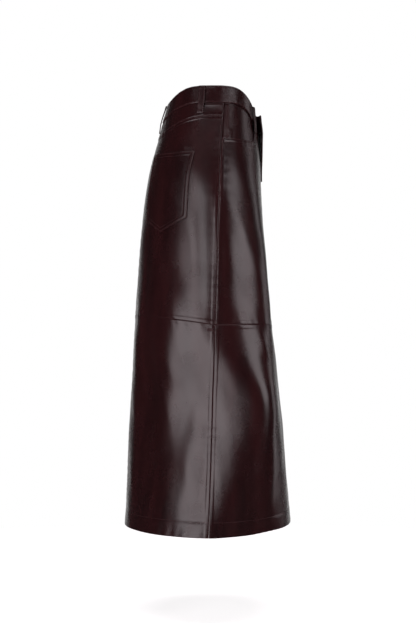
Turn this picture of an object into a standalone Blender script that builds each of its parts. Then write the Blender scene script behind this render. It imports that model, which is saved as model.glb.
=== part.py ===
"""Leather skirt: an A-line, five-pocket midi skirt, filled out and open at the waist and the hem.

Metres, +Z up. The wearer faces -Y, and the wearer's right is -X. The origin is the centre of the waist.
Every piece is a wall laid on one surface, the inner face of the leather. A place on that surface has a
height and a share: 0 at the centre front, 1 at the centre back round the wearer's right side, and -1 at
the centre back round the left side.
"""

import math

import bmesh
import bpy
import numpy as np
from mathutils import Matrix, Vector

NAME = "leather_skirt"

# Leather and seams
LEATHER = 0.0013            # one layer
BAND_LEATHER = 0.0026       # the waistband and the fly are folded double
POCKET_LEATHER = 0.0016
LOOP_LEATHER = 0.0018
SEAM_GAP = 0.0003           # between neighbours at a seam
LAY_GAP = 0.0005            # between a panel and what lies on it

# Heights of the seams at the side of the hip
RIM_Z = 0.0355
WAIST_SEAM_Z = 0.0012
YOKE_SEAM_Z = -0.0232
KNEE_SEAM_Z = -0.428
HEM_Z = -0.829
FRONT_DIP = 0.0485          # how much lower the rim is at the centre front than at the side
BACK_DIP = 0.0291           # and at the centre back
YOKE_DIP = 0.0316
KNEE_RISE = 0.019           # how much higher the knee seam is at the centre back
KNEE_RISE_START = 0.10      # where it starts to rise, of the depth behind the widest point
KNEE_RISE_BEND = 0.2        # how much faster it rises at its start
HEM_FRONT_RISE = 0.0095     # how much higher the hem hangs at the centre front than at the side
HEM_BACK_RISE = 0.003       # and at the centre back

# Outline of the outer face, as (height, value)
FRONT_LINE = [(0.034, -0.0858), (-0.014, -0.0872), (-0.060, -0.0922), (-0.120, -0.0970),
              (-0.200, -0.1002), (-0.300, -0.1062), (-0.428, -0.1172), (-0.600, -0.1350), (-0.828, -0.1585)]
BACK_LINE = [(0.034, 0.0830), (0.006, 0.0870), (-0.024, 0.0955), (-0.060, 0.1055), (-0.100, 0.1170),
             (-0.140, 0.1265), (-0.200, 0.1348), (-0.300, 0.1440), (-0.428, 0.1524), (-0.600, 0.1620),
             (-0.828, 0.1725)]
HALF_WIDTH = [(0.034, 0.1225), (0.004, 0.1290), (-0.060, 0.1480), (-0.130, 0.1680), (-0.210, 0.1820),
              (-0.428, 0.2120), (-0.828, 0.2500)]
WIDEST_LINE = [(0.034, -0.006), (-0.060, -0.008), (-0.120, -0.012), (-0.200, -0.020), (-0.300, -0.025),
               (-0.455, -0.027), (-0.575, -0.084), (-0.700, -0.062), (-0.828, -0.002)]
SIDE_SEAM_LINE = [(0.034, -0.026), (0.004, -0.024), (-0.200, -0.014), (-0.428, -0.007), (-0.828, 0.006)]

# Shape of the plan: 2 and 2 is an ellipse. A high flatness squares the panel, a low ridge points the side.
FRONT_FLATNESS = [(0.034, 2.0), (-0.100, 2.3), (-0.200, 3.8), (-0.300, 6.0), (-0.428, 6.0), (-0.620, 4.2),
                  (-0.828, 2.2)]
FRONT_RIDGE = [(0.034, 2.2), (-0.100, 2.0), (-0.200, 1.8), (-0.300, 1.75), (-0.410, 1.95), (-0.560, 3.0),
               (-0.700, 2.4), (-0.828, 1.65)]
BACK_FLATNESS = [(0.034, 2.0), (-0.200, 2.1), (-0.828, 2.1)]
BACK_RIDGE = [(0.034, 2.2), (-0.200, 1.9), (-0.428, 1.8), (-0.570, 1.5), (-0.700, 1.6), (-0.828, 1.7)]

# The largest folds: share and height at both ends, half width and depth (a ridge is negative)
FOLDS = [
    (0.46, -0.120, 0.44, -0.480, 0.030, -0.0030),
    (0.28, -0.160, 0.27, -0.500, 0.032, -0.0040),
    (0.66, -0.350, 0.74, -0.700, 0.036, -0.0085),
    (0.67, -0.600, 0.69, -0.900, 0.040, -0.0040),
    (0.80, -0.430, 0.78, -0.800, 0.030, 0.0030),
    (0.88, -0.330, 0.86, -0.800, 0.030, -0.0030),
]

# Front pocket: its mouth is a quarter of a rounded oblong, from the side seam up to the waist seam
MOUTH_REACH = 0.66          # of the front panel's width
MOUTH_DEPTH = 0.0695
MOUTH_SQUARENESS = 2.5
FACING_UNDERLAP = 0.012
FACING_SINK = 0.0012        # how far the facing lies behind the front panel

# Back pocket, with distances along the girth from the centre back
POCKET_TOP_Z = -0.095
POCKET_CORNER_Z = -0.223
POCKET_TIP_Z = -0.250
POCKET_HALF_TOP = 0.066
POCKET_HALF_BOTTOM = 0.062
POCKET_CENTRE_TOP = 0.113
POCKET_CENTRE_BOTTOM = 0.134

# Fly and waistband lap, with distances from the centre front (the wearer's left laps over the right)
UNDERLAP = 0.020
LAP = 0.010
LAP_START = 0.060
LAP_LIFT = 0.0115           # of the lapping edge, off the surface under it
FLY_WIDTH = 0.034
FLY_BOTTOM_Z = -0.144
FLY_TIP = 0.003
FLY_CURVE_START = 0.65      # of the fly's length

# Belt loops
LOOP_WIDTH = 0.012
LOOP_BELOW_SEAM = 0.021
LOOP_LIFT = 0.0014
LOOP_BOW_END = 0.88         # where the bow ends, of the loop's length
LOOP_STEP_START = 0.7       # where the loop starts to step down from the band to the panel
LOOPS = {
    "belt_loop_front_right": 0.152,
    "belt_loop_side_right": 0.561,
    "belt_loop_back": 1.0,
    "belt_loop_side_left": -0.561,
    "belt_loop_front_left": -0.152,
}

BUTTON_RADIUS = 0.0085
BUTTON_HEIGHT = 0.0022
BUTTON_OFFSET = 0.012       # from the centre front, on the wearer's left

TURNS = np.linspace(0.0, math.pi, 241)
NUDGE = 1e-3                # step of the slopes that give the surface's normal
SETTLING_STEPS = 4          # of the height of the fly's top, which depends on the girth at that height


# ---------------------------------------------------------------- the surface

def smooth(stations, z):
    """Value at height z of the smooth curve through (height, value) stations."""
    heights, values = np.array(sorted(stations)).T
    slopes = np.gradient(values, heights)
    z = min(max(z, heights[0]), heights[-1])
    i = min(max(int(np.searchsorted(heights, z)) - 1, 0), len(heights) - 2)
    step = heights[i + 1] - heights[i]
    t = (z - heights[i]) / step
    start = values[i] + (slopes[i] * step) * t
    end = values[i + 1] - (slopes[i + 1] * step) * (1 - t)
    return (1 - t) ** 2 * (1 + 2 * t) * values[i] + t ** 2 * (3 - 2 * t) * values[i + 1] \
        + (start - values[i]) * (1 - t) ** 2 + (end - values[i + 1]) * t ** 2


def section(z, turn):
    """Plan of the right half at height z. The turn runs from 0 at the centre front to pi at the back."""
    centre = smooth(WIDEST_LINE, z)
    is_front = turn < math.pi / 2
    front = centre - smooth(FRONT_LINE, z) - LEATHER
    back = smooth(BACK_LINE, z) - centre - LEATHER
    depth = np.where(is_front, front, back)
    flatness = np.where(is_front, smooth(FRONT_FLATNESS, z), smooth(BACK_FLATNESS, z))
    ridge = np.where(is_front, smooth(FRONT_RIDGE, z), smooth(BACK_RIDGE, z))
    x = -(smooth(HALF_WIDTH, z) - LEATHER) * np.sin(turn) ** (2 / flatness)
    y = centre - depth * np.sign(np.cos(turn)) * np.abs(np.cos(turn)) ** (2 / ridge)
    return x, y


def measured(z):
    """Plan at height z with the length along it: y and length at each of TURNS."""
    x, y = section(z, TURNS)
    length = np.concatenate([[0.0], np.cumsum(np.hypot(np.diff(x), np.diff(y)))])
    return y, length


def half_girth(z):
    return measured(z)[1][-1]


def seam_share(z):
    """Share of the half girth at which the side seam lies."""
    y, length = measured(z)
    return float(np.interp(smooth(SIDE_SEAM_LINE, z), y, length) / length[-1])


def turn_at(share, z):
    length = measured(z)[1]
    return float(np.interp(share * length[-1], length, TURNS))


def reach(share, z):
    """Depth of a place, from -1 at the centre front through 0 at the widest point to 1 at the back."""
    y = float(section(z, np.array([turn_at(share, z)]))[1][0])
    centre = smooth(WIDEST_LINE, z)
    line = FRONT_LINE if y < centre else BACK_LINE
    return (y - centre) / (abs(smooth(line, z) - centre) - LEATHER)


def fold(share, z):
    """Height of the folds above the plain surface."""
    total = 0.0
    for share_top, z_top, share_bottom, z_bottom, half_width, depth in FOLDS:
        along = (z - z_top) / (z_bottom - z_top)
        if not 0 < along < 1:
            continue
        middle = share_top + (share_bottom - share_top) * along
        off = (share - middle) * half_girth(z) / half_width
        total -= depth * math.sin(math.pi * along) * math.exp(-off * off)
    return total


def surface(share, z, out=0.0):
    """The point at a share and height, moved out from the inner face by so much."""
    on_right = share % 2 < 1
    share = abs((share + 1) % 2 - 1)
    turn = turn_at(share, z)
    low, high = max(turn - NUDGE, 0.0), min(turn + NUDGE, math.pi)
    x, y = section(z, np.array([turn, low, high]))
    x_up, y_up = section(z + NUDGE, np.array([turn]))
    x_down, y_down = section(z - NUDGE, np.array([turn]))
    round_it = Vector((x[2] - x[1], y[2] - y[1], 0.0))
    up_it = Vector((x_up[0] - x_down[0], y_up[0] - y_down[0], 2 * NUDGE))
    normal = up_it.cross(round_it).normalized()
    point = Vector((x[0], y[0], z)) + normal * (out + fold(share, z))
    return point if on_right else Vector((-point.x, point.y, point.z))


# ---------------------------------------------------------------- the seams' heights

def across(part, u, z):
    """Share at fraction u of a front or back panel's width, from its front edge to its back edge."""
    side = seam_share(z)
    return u * side if part == "front" else side + u * (1 - side)


def dipped(side_z, front_dip, front_power, back_dip, back_power):
    """Height of a seam by share: side_z at the side, and lower at the centre front and back."""
    def height(share):
        deep = reach(abs((share + 1) % 2 - 1), side_z)
        if deep < 0:
            return side_z - front_dip * abs(deep) ** front_power
        return side_z - back_dip * deep ** back_power
    return height


rim_z = dipped(RIM_Z, FRONT_DIP, 4, BACK_DIP, 4)
waist_seam_z = dipped(WAIST_SEAM_Z, FRONT_DIP, 5.5, BACK_DIP, 4)
yoke_seam_z = dipped(YOKE_SEAM_Z, 0.0, 1, YOKE_DIP, 2.5)
hem_z = dipped(HEM_Z, -HEM_FRONT_RISE, 1.3, -HEM_BACK_RISE, 3)


def knee_seam_z(share):
    deep = max(reach(share, KNEE_SEAM_Z) - KNEE_RISE_START, 0.0) / (1 - KNEE_RISE_START)
    return KNEE_SEAM_Z + KNEE_RISE * deep * (1 + KNEE_RISE_BEND * (1 - deep))


def edge(part, height, side_z):
    """A panel's edge along a seam, as a function giving (u, height) for k from 0 to 1."""
    return lambda k: (k, height(across(part, k, side_z)))


def mouth(k, grow=0.0):
    """The pocket mouth, from the side seam at k = 0 up to the waist seam at k = 1."""
    turn = k * math.pi / 2
    wide = MOUTH_REACH * (1 + grow / MOUTH_DEPTH) * math.sin(turn) ** (2 / MOUTH_SQUARENESS)
    deep = (MOUTH_DEPTH + grow) * math.cos(turn) ** (2 / MOUTH_SQUARENESS)
    u = 1 - wide
    return u, waist_seam_z(across("front", u, WAIST_SEAM_Z)) - deep


# ---------------------------------------------------------------- making solids

def material(name, colour, roughness, metallic=0.0):
    made = bpy.data.materials.new(name)
    made.use_nodes = True
    shader = made.node_tree.nodes["Principled BSDF"]
    shader.inputs["Base Color"].default_value = (*colour, 1.0)
    shader.inputs["Roughness"].default_value = roughness
    shader.inputs["Metallic"].default_value = metallic
    made.diffuse_color = (*colour, 1.0)
    return made


def add(name, bm, finish):
    mesh = bpy.data.meshes.new(name)
    bm.to_mesh(mesh)
    bm.free()
    mesh.shade_smooth()
    mesh.materials.append(finish)
    piece = bpy.data.objects.new(name, mesh)
    skirt.objects.link(piece)
    return piece


def wall(name, place, columns, rows, thickness, finish, outwards=True):
    """A leather wall: a unit grid put on the surface by place(u, v), then thickened."""
    bm = bmesh.new()
    bmesh.ops.create_grid(bm, x_segments=columns, y_segments=rows, size=0.5)
    for vertex in bm.verts:
        vertex.co = place(vertex.co.x + 0.5, vertex.co.y + 0.5)
    bm.normal_update()
    facing_out = sum(f.normal.dot(f.calc_center_median() * Vector((1, 1, 0))) for f in bm.faces)
    if facing_out < 0:
        bmesh.ops.reverse_faces(bm, faces=bm.faces)
    piece = add(name, bm, finish)
    solidify = piece.modifiers.new("Leather", "SOLIDIFY")
    solidify.thickness = thickness
    solidify.offset = 1.0 if outwards else -1.0
    solidify.use_even_offset = True
    return piece


def panel(sign, part, top, bottom, out=0.0):
    """place(u, v) for a panel between two edges, clear of its neighbours by half a seam gap."""
    def place(k, v):
        (u_top, z_top), (u_bottom, z_bottom) = top(k), bottom(k)
        z = z_top - SEAM_GAP / 2 + (z_bottom - z_top + SEAM_GAP) * v
        u = u_top + (u_bottom - u_top) * v
        inset = SEAM_GAP / 2 / half_girth(z)
        share = min(max(across(part, u, z), inset), 1 - inset)
        side = seam_share(z)
        share = min(share, side - inset) if part == "front" else max(share, side + inset)
        return surface(sign * share, z, out)
    return place


# ---------------------------------------------------------------- the pieces

def waistband(finish):
    """One band, from its right end under the lap, round the back, to its left end over the lap."""
    girth = half_girth(0.0)
    start, end = -UNDERLAP / girth, 2 + LAP / girth

    def place(u, v):
        share = start + (end - start) * u
        z = rim_z(share) + (waist_seam_z(share) + SEAM_GAP / 2 - rim_z(share)) * v
        return surface(share, z, lap_out((2 - share) * girth))
    wall("waistband", place, 60, 3, BAND_LEATHER, finish)


def lap_out(distance):
    """How far the lapping end of the waistband stands out, by its distance from the centre front."""
    clear = BAND_LEATHER + SEAM_GAP * 2
    if distance > LAP_START:
        return 0.0
    if distance > UNDERLAP:
        t = (LAP_START - distance) / (LAP_START - UNDERLAP)
        return clear * t * t * (3 - 2 * t)
    return clear + (LAP_LIFT - clear) * (UNDERLAP - distance) / (UNDERLAP + LAP)


def panels(name, sign, finish):
    def between(part, top, bottom, columns, rows, node):
        wall(f"{node}_{name}", panel(sign, part, top, bottom), columns, rows, LEATHER, finish)

    waist_back = edge("back", waist_seam_z, WAIST_SEAM_Z)
    yoke_back = edge("back", yoke_seam_z, YOKE_SEAM_Z)
    knee_back = edge("back", knee_seam_z, KNEE_SEAM_Z)
    knee_front = edge("front", knee_seam_z, KNEE_SEAM_Z)
    between("back", waist_back, yoke_back, 12, 2, "back_yoke")
    between("back", yoke_back, knee_back, 12, 12, "back_upper")
    between("back", knee_back, edge("back", hem_z, HEM_Z), 12, 11, "back_lower")
    between("front", front_top, knee_front, 12, 12, "front_upper")
    between("front", knee_front, edge("front", hem_z, HEM_Z), 12, 11, "front_lower")


def front_top(k):
    """Top edge of the front: along the waist seam for a third of the columns, then round the mouth."""
    waist_part = 1 / 3
    if k < waist_part:
        u = (1 - MOUTH_REACH) * k / waist_part
        return u, waist_seam_z(across("front", u, WAIST_SEAM_Z))
    return mouth((1 - k) / (1 - waist_part))


def pocket_facing(name, sign, finish):
    """The piece that shows in the pocket mouth, under the front's edge."""
    def bottom(k):
        return mouth(0.04 + 0.90 * (1 - k) if k < 1 else 0.0, FACING_UNDERLAP)

    def top(k):
        u = bottom(k)[0]
        return u, waist_seam_z(across("front", u, WAIST_SEAM_Z))
    place = panel(sign, "front", top, bottom, -FACING_SINK)
    wall(f"front_pocket_facing_{name}", place, 9, 4, LEATHER, finish, outwards=False)


def back_pocket(name, sign, finish):
    """A five-sided patch on the upper back, its point downwards."""
    def place(u, v):
        to_side = 2 * u - 1
        bottom = POCKET_TIP_Z + (POCKET_CORNER_Z - POCKET_TIP_Z) * abs(to_side)
        z = POCKET_TOP_Z + (bottom - POCKET_TOP_Z) * v
        half = POCKET_HALF_TOP + (POCKET_HALF_BOTTOM - POCKET_HALF_TOP) * v
        centre = POCKET_CENTRE_TOP + (POCKET_CENTRE_BOTTOM - POCKET_CENTRE_TOP) * v
        share = 1 - (centre + half * to_side) / half_girth(z)
        return surface(sign * share, z, LEATHER + LAY_GAP)
    wall(f"back_pocket_{name}", place, 8, 7, POCKET_LEATHER, finish)


def fly_top_z(distance):
    """Height of the fly's top edge, just under the waistband, at a distance from the centre front."""
    top_z = WAIST_SEAM_Z - FRONT_DIP
    for _ in range(SETTLING_STEPS):
        top_z = waist_seam_z(-distance / half_girth(top_z)) - LAY_GAP
    return top_z


def fly_front(finish):
    """The lapped strip at the centre front, standing off the right front along its free edge."""
    def place(u, v):
        top_z = fly_top_z(-LAP + (FLY_WIDTH + LAP) * u)
        z = top_z + (FLY_BOTTOM_Z - top_z) * v
        curve = max(v - FLY_CURVE_START, 0.0) / (1 - FLY_CURVE_START)
        left = max(FLY_WIDTH * math.sqrt(max(1 - curve ** 2, 0.0)), FLY_TIP)
        right = -LAP + (LAP - FLY_TIP) * v ** 3
        distance = right + (left - right) * u
        lift = (LAP_LIFT - LEATHER - LAY_GAP) * max(1 - v, 0.0) ** 1.5 * max(1 - u, 0.0)
        return surface(-distance / half_girth(z), z, LEATHER + LAY_GAP + lift)
    wall("fly_front", place, 5, 9, BAND_LEATHER, finish)


def belt_loop(name, share, finish):
    """A strap from the rim to below the waist seam, bowed out to let a belt through."""
    def place(u, v):
        top = rim_z(share)
        bottom = waist_seam_z(share) - LOOP_BELOW_SEAM
        z = top + (bottom - top) * v
        across_it = (u - 0.5) * LOOP_WIDTH / half_girth(z)
        ends = BAND_LEATHER + LAY_GAP
        bow = math.sin(math.pi * v / LOOP_BOW_END) ** 0.6 if 0 < v < LOOP_BOW_END else 0.0
        low = (ends - LEATHER - LAY_GAP) * max(v - LOOP_STEP_START, 0.0) / (1 - LOOP_STEP_START)
        return surface(share + across_it, z, ends - low + LOOP_LIFT * bow)
    wall(name, place, 3, 12, LOOP_LEATHER, finish)


def waist_button(finish):
    """A plain round button on the lapping end of the waistband, square to it."""
    girth = half_girth(0.0)
    middle_z = (rim_z(0.0) + waist_seam_z(0.0)) / 2

    def on_lap(aside, up):
        distance = BUTTON_OFFSET + aside
        return surface(-distance / girth, middle_z + up, lap_out(distance) + BAND_LEATHER)
    towards_right = on_lap(-BUTTON_RADIUS, 0.0) - on_lap(BUTTON_RADIUS, 0.0)
    upwards = on_lap(0.0, BUTTON_RADIUS) - on_lap(0.0, -BUTTON_RADIUS)
    outwards = upwards.cross(towards_right).normalized()
    bm = bmesh.new()
    bmesh.ops.create_cone(bm, cap_ends=True, segments=24, radius1=BUTTON_RADIUS, radius2=BUTTON_RADIUS,
                          depth=BUTTON_HEIGHT, matrix=Matrix.Translation((0, 0, BUTTON_HEIGHT / 2)))
    piece = add("waist_button", bm, finish)
    piece.location = on_lap(0.0, 0.0) + outwards * LAY_GAP
    piece.rotation_mode = "QUATERNION"
    piece.rotation_quaternion = outwards.to_track_quat("Z", "Y")
    bevel = piece.modifiers.new("Rounded edge", "BEVEL")
    bevel.width = BUTTON_HEIGHT * 0.35
    bevel.segments = 2


for old in list(bpy.data.objects):
    bpy.data.objects.remove(old, do_unlink=True)
skirt = bpy.data.collections.new(NAME)
bpy.context.scene.collection.children.link(skirt)

leather = material("burgundy_leather", (0.040, 0.013, 0.014), 0.32)
metal = material("dark_metal", (0.10, 0.09, 0.09), 0.35, metallic=1.0)

waistband(leather)
for side_name, side_sign in (("right", 1), ("left", -1)):
    panels(side_name, side_sign, leather)
    pocket_facing(side_name, side_sign, leather)
    back_pocket(side_name, side_sign, leather)
fly_front(leather)
for loop_name, loop_share in LOOPS.items():
    belt_loop(loop_name, loop_share, leather)
waist_button(metal)
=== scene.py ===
"""Leather skirt: the looks. Fine leather shells, seams and stitches laid on the surface of the CAD solids.

Metres, +Z up, in the part's frame: the wearer faces -Y and the wearer's right is -X. A place on the
surface has a height and a share: 0 at the centre front, 1 at the centre back round the wearer's right
side, and -1 round the left side.
"""

import math

import bpy
import numpy as np
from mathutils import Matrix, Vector


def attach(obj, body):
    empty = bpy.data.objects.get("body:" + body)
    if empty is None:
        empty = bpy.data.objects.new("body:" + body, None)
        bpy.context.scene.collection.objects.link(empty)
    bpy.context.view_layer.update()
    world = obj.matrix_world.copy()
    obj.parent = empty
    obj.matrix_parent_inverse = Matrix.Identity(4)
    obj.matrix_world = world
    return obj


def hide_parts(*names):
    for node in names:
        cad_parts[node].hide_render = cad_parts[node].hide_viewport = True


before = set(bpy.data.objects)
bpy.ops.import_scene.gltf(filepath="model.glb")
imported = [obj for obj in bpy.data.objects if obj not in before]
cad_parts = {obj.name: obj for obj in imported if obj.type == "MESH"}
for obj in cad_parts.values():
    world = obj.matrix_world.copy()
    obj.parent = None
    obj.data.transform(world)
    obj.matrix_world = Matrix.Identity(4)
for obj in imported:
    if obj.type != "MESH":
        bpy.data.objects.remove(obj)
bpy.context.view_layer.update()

# ---------------------------------------------------------------- sizes, as in the part

LEATHER = 0.0013
BAND_LEATHER = 0.0026
POCKET_LEATHER = 0.0016
LOOP_LEATHER = 0.0018
SEAM_GAP = 0.0003           # wanted between neighbours; the centre front stands wider, see TURNS
LAY_GAP = 0.0005

RIM_Z = 0.0355
WAIST_SEAM_Z = 0.0012
YOKE_SEAM_Z = -0.0232
KNEE_SEAM_Z = -0.428
HEM_Z = -0.829
FRONT_DIP = 0.0485
BACK_DIP = 0.0291
YOKE_DIP = 0.0316
KNEE_RISE = 0.019
KNEE_RISE_START = 0.10
KNEE_RISE_BEND = 0.2
HEM_FRONT_RISE = 0.0095
HEM_BACK_RISE = 0.003

FRONT_LINE = [(0.034, -0.0858), (-0.014, -0.0872), (-0.060, -0.0922), (-0.120, -0.0970),
              (-0.200, -0.1002), (-0.300, -0.1062), (-0.428, -0.1172), (-0.600, -0.1350), (-0.828, -0.1585)]
BACK_LINE = [(0.034, 0.0830), (0.006, 0.0870), (-0.024, 0.0955), (-0.060, 0.1055), (-0.100, 0.1170),
             (-0.140, 0.1265), (-0.200, 0.1348), (-0.300, 0.1440), (-0.428, 0.1524), (-0.600, 0.1620),
             (-0.828, 0.1725)]
HALF_WIDTH = [(0.034, 0.1225), (0.004, 0.1290), (-0.060, 0.1480), (-0.130, 0.1680), (-0.210, 0.1820),
              (-0.428, 0.2120), (-0.828, 0.2500)]
WIDEST_LINE = [(0.034, -0.006), (-0.060, -0.008), (-0.120, -0.012), (-0.200, -0.020), (-0.300, -0.025),
               (-0.455, -0.027), (-0.575, -0.084), (-0.700, -0.062), (-0.828, -0.002)]
SIDE_SEAM_LINE = [(0.034, -0.026), (0.004, -0.024), (-0.200, -0.014), (-0.428, -0.007), (-0.828, 0.006)]

FRONT_FLATNESS = [(0.034, 2.0), (-0.100, 2.3), (-0.200, 3.8), (-0.300, 6.0), (-0.428, 6.0), (-0.620, 4.2),
                  (-0.828, 2.2)]
FRONT_RIDGE = [(0.034, 2.2), (-0.100, 2.0), (-0.200, 1.8), (-0.300, 1.75), (-0.410, 1.95), (-0.560, 3.0),
               (-0.700, 2.4), (-0.828, 1.65)]
BACK_FLATNESS = [(0.034, 2.0), (-0.200, 2.1), (-0.828, 2.1)]
BACK_RIDGE = [(0.034, 2.2), (-0.200, 1.9), (-0.428, 1.8), (-0.570, 1.5), (-0.700, 1.6), (-0.828, 1.7)]

# Share and height at both ends, half width and depth (a ridge is negative)
FOLDS = [
    (0.46, -0.120, 0.44, -0.480, 0.030, -0.0030),
    (0.28, -0.160, 0.27, -0.500, 0.032, -0.0040),
    (0.66, -0.350, 0.74, -0.700, 0.036, -0.0085),
    (0.67, -0.600, 0.69, -0.900, 0.040, -0.0040),
    (0.80, -0.430, 0.78, -0.800, 0.030, 0.0030),
    (0.88, -0.330, 0.86, -0.800, 0.030, -0.0030),
]

MOUTH_REACH = 0.66
MOUTH_DEPTH = 0.0695
MOUTH_SQUARENESS = 2.5
FACING_UNDERLAP = 0.012
FACING_SINK = 0.0012

POCKET_TOP_Z = -0.095
POCKET_CORNER_Z = -0.223
POCKET_TIP_Z = -0.250
POCKET_HALF_TOP = 0.066
POCKET_HALF_BOTTOM = 0.062
POCKET_CENTRE_TOP = 0.113
POCKET_CENTRE_BOTTOM = 0.134

UNDERLAP = 0.020
LAP = 0.010
LAP_START = 0.060
LAP_LIFT = 0.0115
FLY_WIDTH = 0.034
FLY_BOTTOM_Z = -0.144
FLY_TIP = 0.003
FLY_CURVE_START = 0.65

LOOP_WIDTH = 0.012
LOOP_BELOW_SEAM = 0.021
LOOP_LIFT = 0.0014
LOOPS = {
    "belt_loop_front_right": 0.152,
    "belt_loop_side_right": 0.561,
    "belt_loop_back": 1.0,
    "belt_loop_side_left": -0.561,
    "belt_loop_front_left": -0.152,
}
BUTTON_RADIUS = 0.0085
BUTTON_HEIGHT = 0.0022
BUTTON_OFFSET = 0.012

# Finer creases, for the looks only: share and height at both ends, sideways bow of the middle, half width,
# depth (a ridge is negative)
RIGHT_CREASES = [
    (0.512, 0.032, 0.494, 0.012, 0.000, 0.007, -0.0009),     # dent of light on the waistband by the side seam
    (0.500, -0.004, 0.500, -0.026, 0.000, 0.022, -0.0012),   # fullness of the yoke ahead of the loop
    (0.412, -0.050, 0.436, -0.076, 0.000, 0.0036, -0.0012),  # two puckers at the facing's lower corner
    (0.388, -0.050, 0.408, -0.076, 0.000, 0.0036, -0.0011),
    (0.455, -0.130, 0.300, -0.360, 0.010, 0.016, -0.0014),   # drag from the side seam over the front
    (0.580, -0.150, 0.560, -0.420, 0.006, 0.014, -0.0006),   # ridge of the long band of light behind the seam
    (0.545, -0.150, 0.540, -0.420, 0.004, 0.009, 0.0004),
    (0.525, -0.200, 0.518, -0.425, 0.003, 0.007, -0.0005),
    (0.485, -0.130, 0.478, -0.425, 0.000, 0.0045, -0.0004),  # streaks along the side seam
    (0.463, -0.110, 0.460, -0.425, 0.000, 0.0060, 0.0005),
    (0.700, -0.060, 0.600, -0.090, 0.010, 0.012, -0.0012),   # diagonal drag above the pocket
    (0.760, -0.040, 0.640, -0.090, 0.012, 0.010, 0.0010),
    (0.820, -0.110, 0.640, -0.200, 0.010, 0.014, -0.0012),   # soft drags on the pocket
    (0.860, -0.150, 0.700, -0.235, 0.008, 0.012, 0.0011),
    (0.760, -0.260, 0.740, -0.420, 0.006, 0.016, -0.0012),   # faint streaks of the dark back
    (0.820, -0.300, 0.800, -0.425, 0.004, 0.012, 0.0010),
    (0.300, -0.300, 0.280, -0.425, 0.004, 0.012, 0.0012),
    (0.350, -0.432, 0.310, -0.500, 0.004, 0.014, -0.0018),   # bright patch under the knee seam
    (0.640, -0.434, 0.665, -0.640, -0.020, 0.016, -0.0008),  # curved edge of the broad light below the knee
    (0.735, -0.434, 0.730, -0.600, 0.000, 0.010, -0.0012),
    (0.600, -0.560, 0.610, -0.815, 0.006, 0.018, -0.0016),
    (0.560, -0.600, 0.550, -0.815, 0.000, 0.012, 0.0012),
    (0.380, -0.560, 0.300, -0.800, 0.010, 0.018, -0.0018),
    (0.440, -0.640, 0.410, -0.815, 0.000, 0.012, 0.0010),
    (0.200, -0.450, 0.170, -0.780, 0.010, 0.022, -0.0018),
    (0.100, -0.500, 0.110, -0.800, 0.000, 0.020, 0.0016),
]
LEFT_CREASES = [
    (0.470, 0.028, 0.450, 0.010, 0.000, 0.011, -0.0010),
    (0.495, -0.004, 0.505, -0.026, 0.000, 0.022, -0.0011),
    (0.412, -0.050, 0.424, -0.078, 0.000, 0.0048, -0.0015),
    (0.390, -0.048, 0.400, -0.077, 0.000, 0.0045, -0.0012),
    (0.440, -0.140, 0.310, -0.380, -0.010, 0.018, -0.0015),
    (0.575, -0.160, 0.570, -0.420, 0.008, 0.013, -0.0012),
    (0.540, -0.180, 0.530, -0.410, 0.004, 0.008, 0.0011),
    (0.482, -0.140, 0.480, -0.425, 0.000, 0.0045, -0.0009),
    (0.690, -0.055, 0.590, -0.095, 0.010, 0.012, -0.0011),
    (0.800, -0.120, 0.660, -0.215, 0.008, 0.014, -0.0012),
    (0.750, -0.270, 0.735, -0.420, 0.006, 0.016, -0.0013),
    (0.810, -0.290, 0.820, -0.425, 0.004, 0.012, 0.0010),
    (0.290, -0.280, 0.270, -0.425, -0.004, 0.013, 0.0012),
    (0.360, -0.432, 0.320, -0.520, 0.004, 0.014, -0.0016),
    (0.640, -0.434, 0.655, -0.660, -0.014, 0.017, -0.0017),
    (0.610, -0.540, 0.600, -0.815, 0.006, 0.018, -0.0017),
    (0.400, -0.540, 0.320, -0.800, 0.010, 0.018, -0.0018),
    (0.540, -0.620, 0.545, -0.815, 0.000, 0.012, 0.0012),
    (0.190, -0.440, 0.180, -0.790, -0.010, 0.022, -0.0017),
    (0.090, -0.520, 0.085, -0.800, 0.000, 0.020, 0.0015),
    (0.880, -0.480, 0.900, -0.800, 0.006, 0.016, 0.0014),
]
# Slow unevenness of the leather: direction, wavelength, phase and height
WAVES = [
    ((0.9, 0.3, 0.4), 0.120, 0.3, 0.00035), ((-0.4, 0.8, 0.5), 0.095, 1.7, 0.00030),
    ((0.2, -0.7, 0.7), 0.070, 2.9, 0.00022), ((0.7, 0.6, -0.5), 0.052, 4.1, 0.00014),
    ((-0.8, 0.1, 0.6), 0.038, 5.2, 0.00008), ((0.3, 0.9, -0.2), 0.029, 0.9, 0.00005),
]

# Seam edges, by the distance from the edge: how far the edge rolls in, the height and reach of the leather
# folded under it, and the places of the stitch lines
EDGES = {
    "pressed": (0.0009, 0.0004, 0.009, ()),
    "under": (0.0004, 0.0000, 0.004, ()),
    "topstitched": (0.0006, 0.0006, 0.0085, (0.0020, 0.0075)),
    "turned": (0.0007, 0.0005, 0.0090, (0.0022, 0.0078)),
    "hem": (0.0007, 0.0006, 0.0300, (0.0290,)),
    "patch": (0.0008, 0.0004, 0.0090, (0.0022, 0.0078)),
    "band": (0.0010, 0.0001, 0.0040, (0.0025,)),
    "strap": (0.0008, 0.0001, 0.0030, (0.0022,)),
}
ROLL_REACH = 0.0011
GROOVE_HALF_WIDTH = 0.0009
GROOVE_DEPTH = 0.00022
PUCKER_PITCH = 0.019
PUCKER_REACH = 0.015
PUCKER_HEIGHT = 0.00028

STITCH_PITCH = 0.0038
STITCH_LENGTH = 0.0031
STITCH_RADIUS = 0.00026

NUDGE = 1e-3


# ---------------------------------------------------------------- the surface, for arrays of places

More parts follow.
